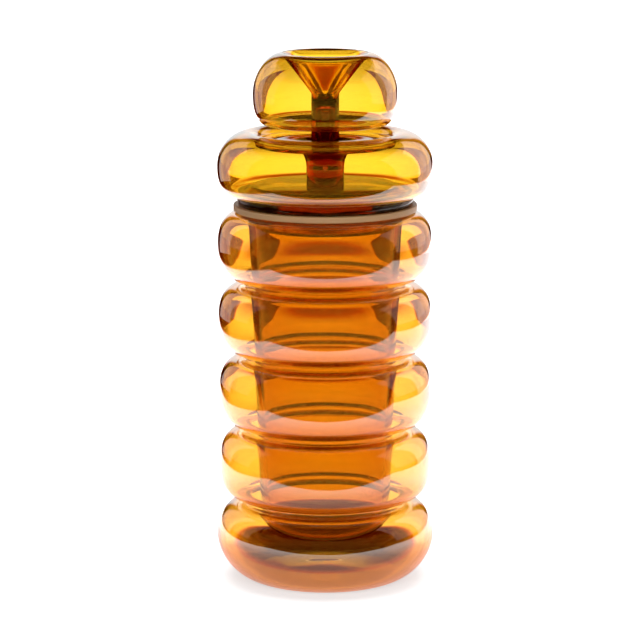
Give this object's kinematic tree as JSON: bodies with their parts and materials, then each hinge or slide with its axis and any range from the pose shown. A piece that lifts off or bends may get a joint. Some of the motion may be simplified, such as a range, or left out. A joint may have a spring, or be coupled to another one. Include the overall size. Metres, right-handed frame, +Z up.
{
  "type": "apothecary jar",
  "caption": "Double-walled amber glass jar of stacked hollow rings around a straight inner vessel, with a hollow lid, a silicone seal and a hollow round knob with a funnel-shaped crown.",
  "frame": {"origin": "middle of the foot, on the surface the jar stands on", "axes": "+Z up along the axis of revolution; +X to the right and -Y towards the viewer, the jar being the same all round"},
  "size_m": [0.1418, 0.1418, 0.3451],
  "materials": {
    "amber_glass": "clear blown glass, tinted honey amber, glossy",
    "silicone": "translucent khaki silicone, satin"
  },
  "bodies": {
    "jar": {"jar_outer_shell": "amber_glass", "jar_liner": "amber_glass"},
    "lid": {"seal_ring": "silicone", "lid_shell": "amber_glass", "lid_plug": "amber_glass", "lid_column": "amber_glass", "knob_shell": "amber_glass", "knob_funnel": "amber_glass", "knob_stem": "amber_glass"}
  },
  "joints": [
    {"name": "lid_lift", "type": "slide", "parent": "jar", "child": "lid", "axis": [0, 0, 1], "range_m": [0, 0.08]}
  ]
}
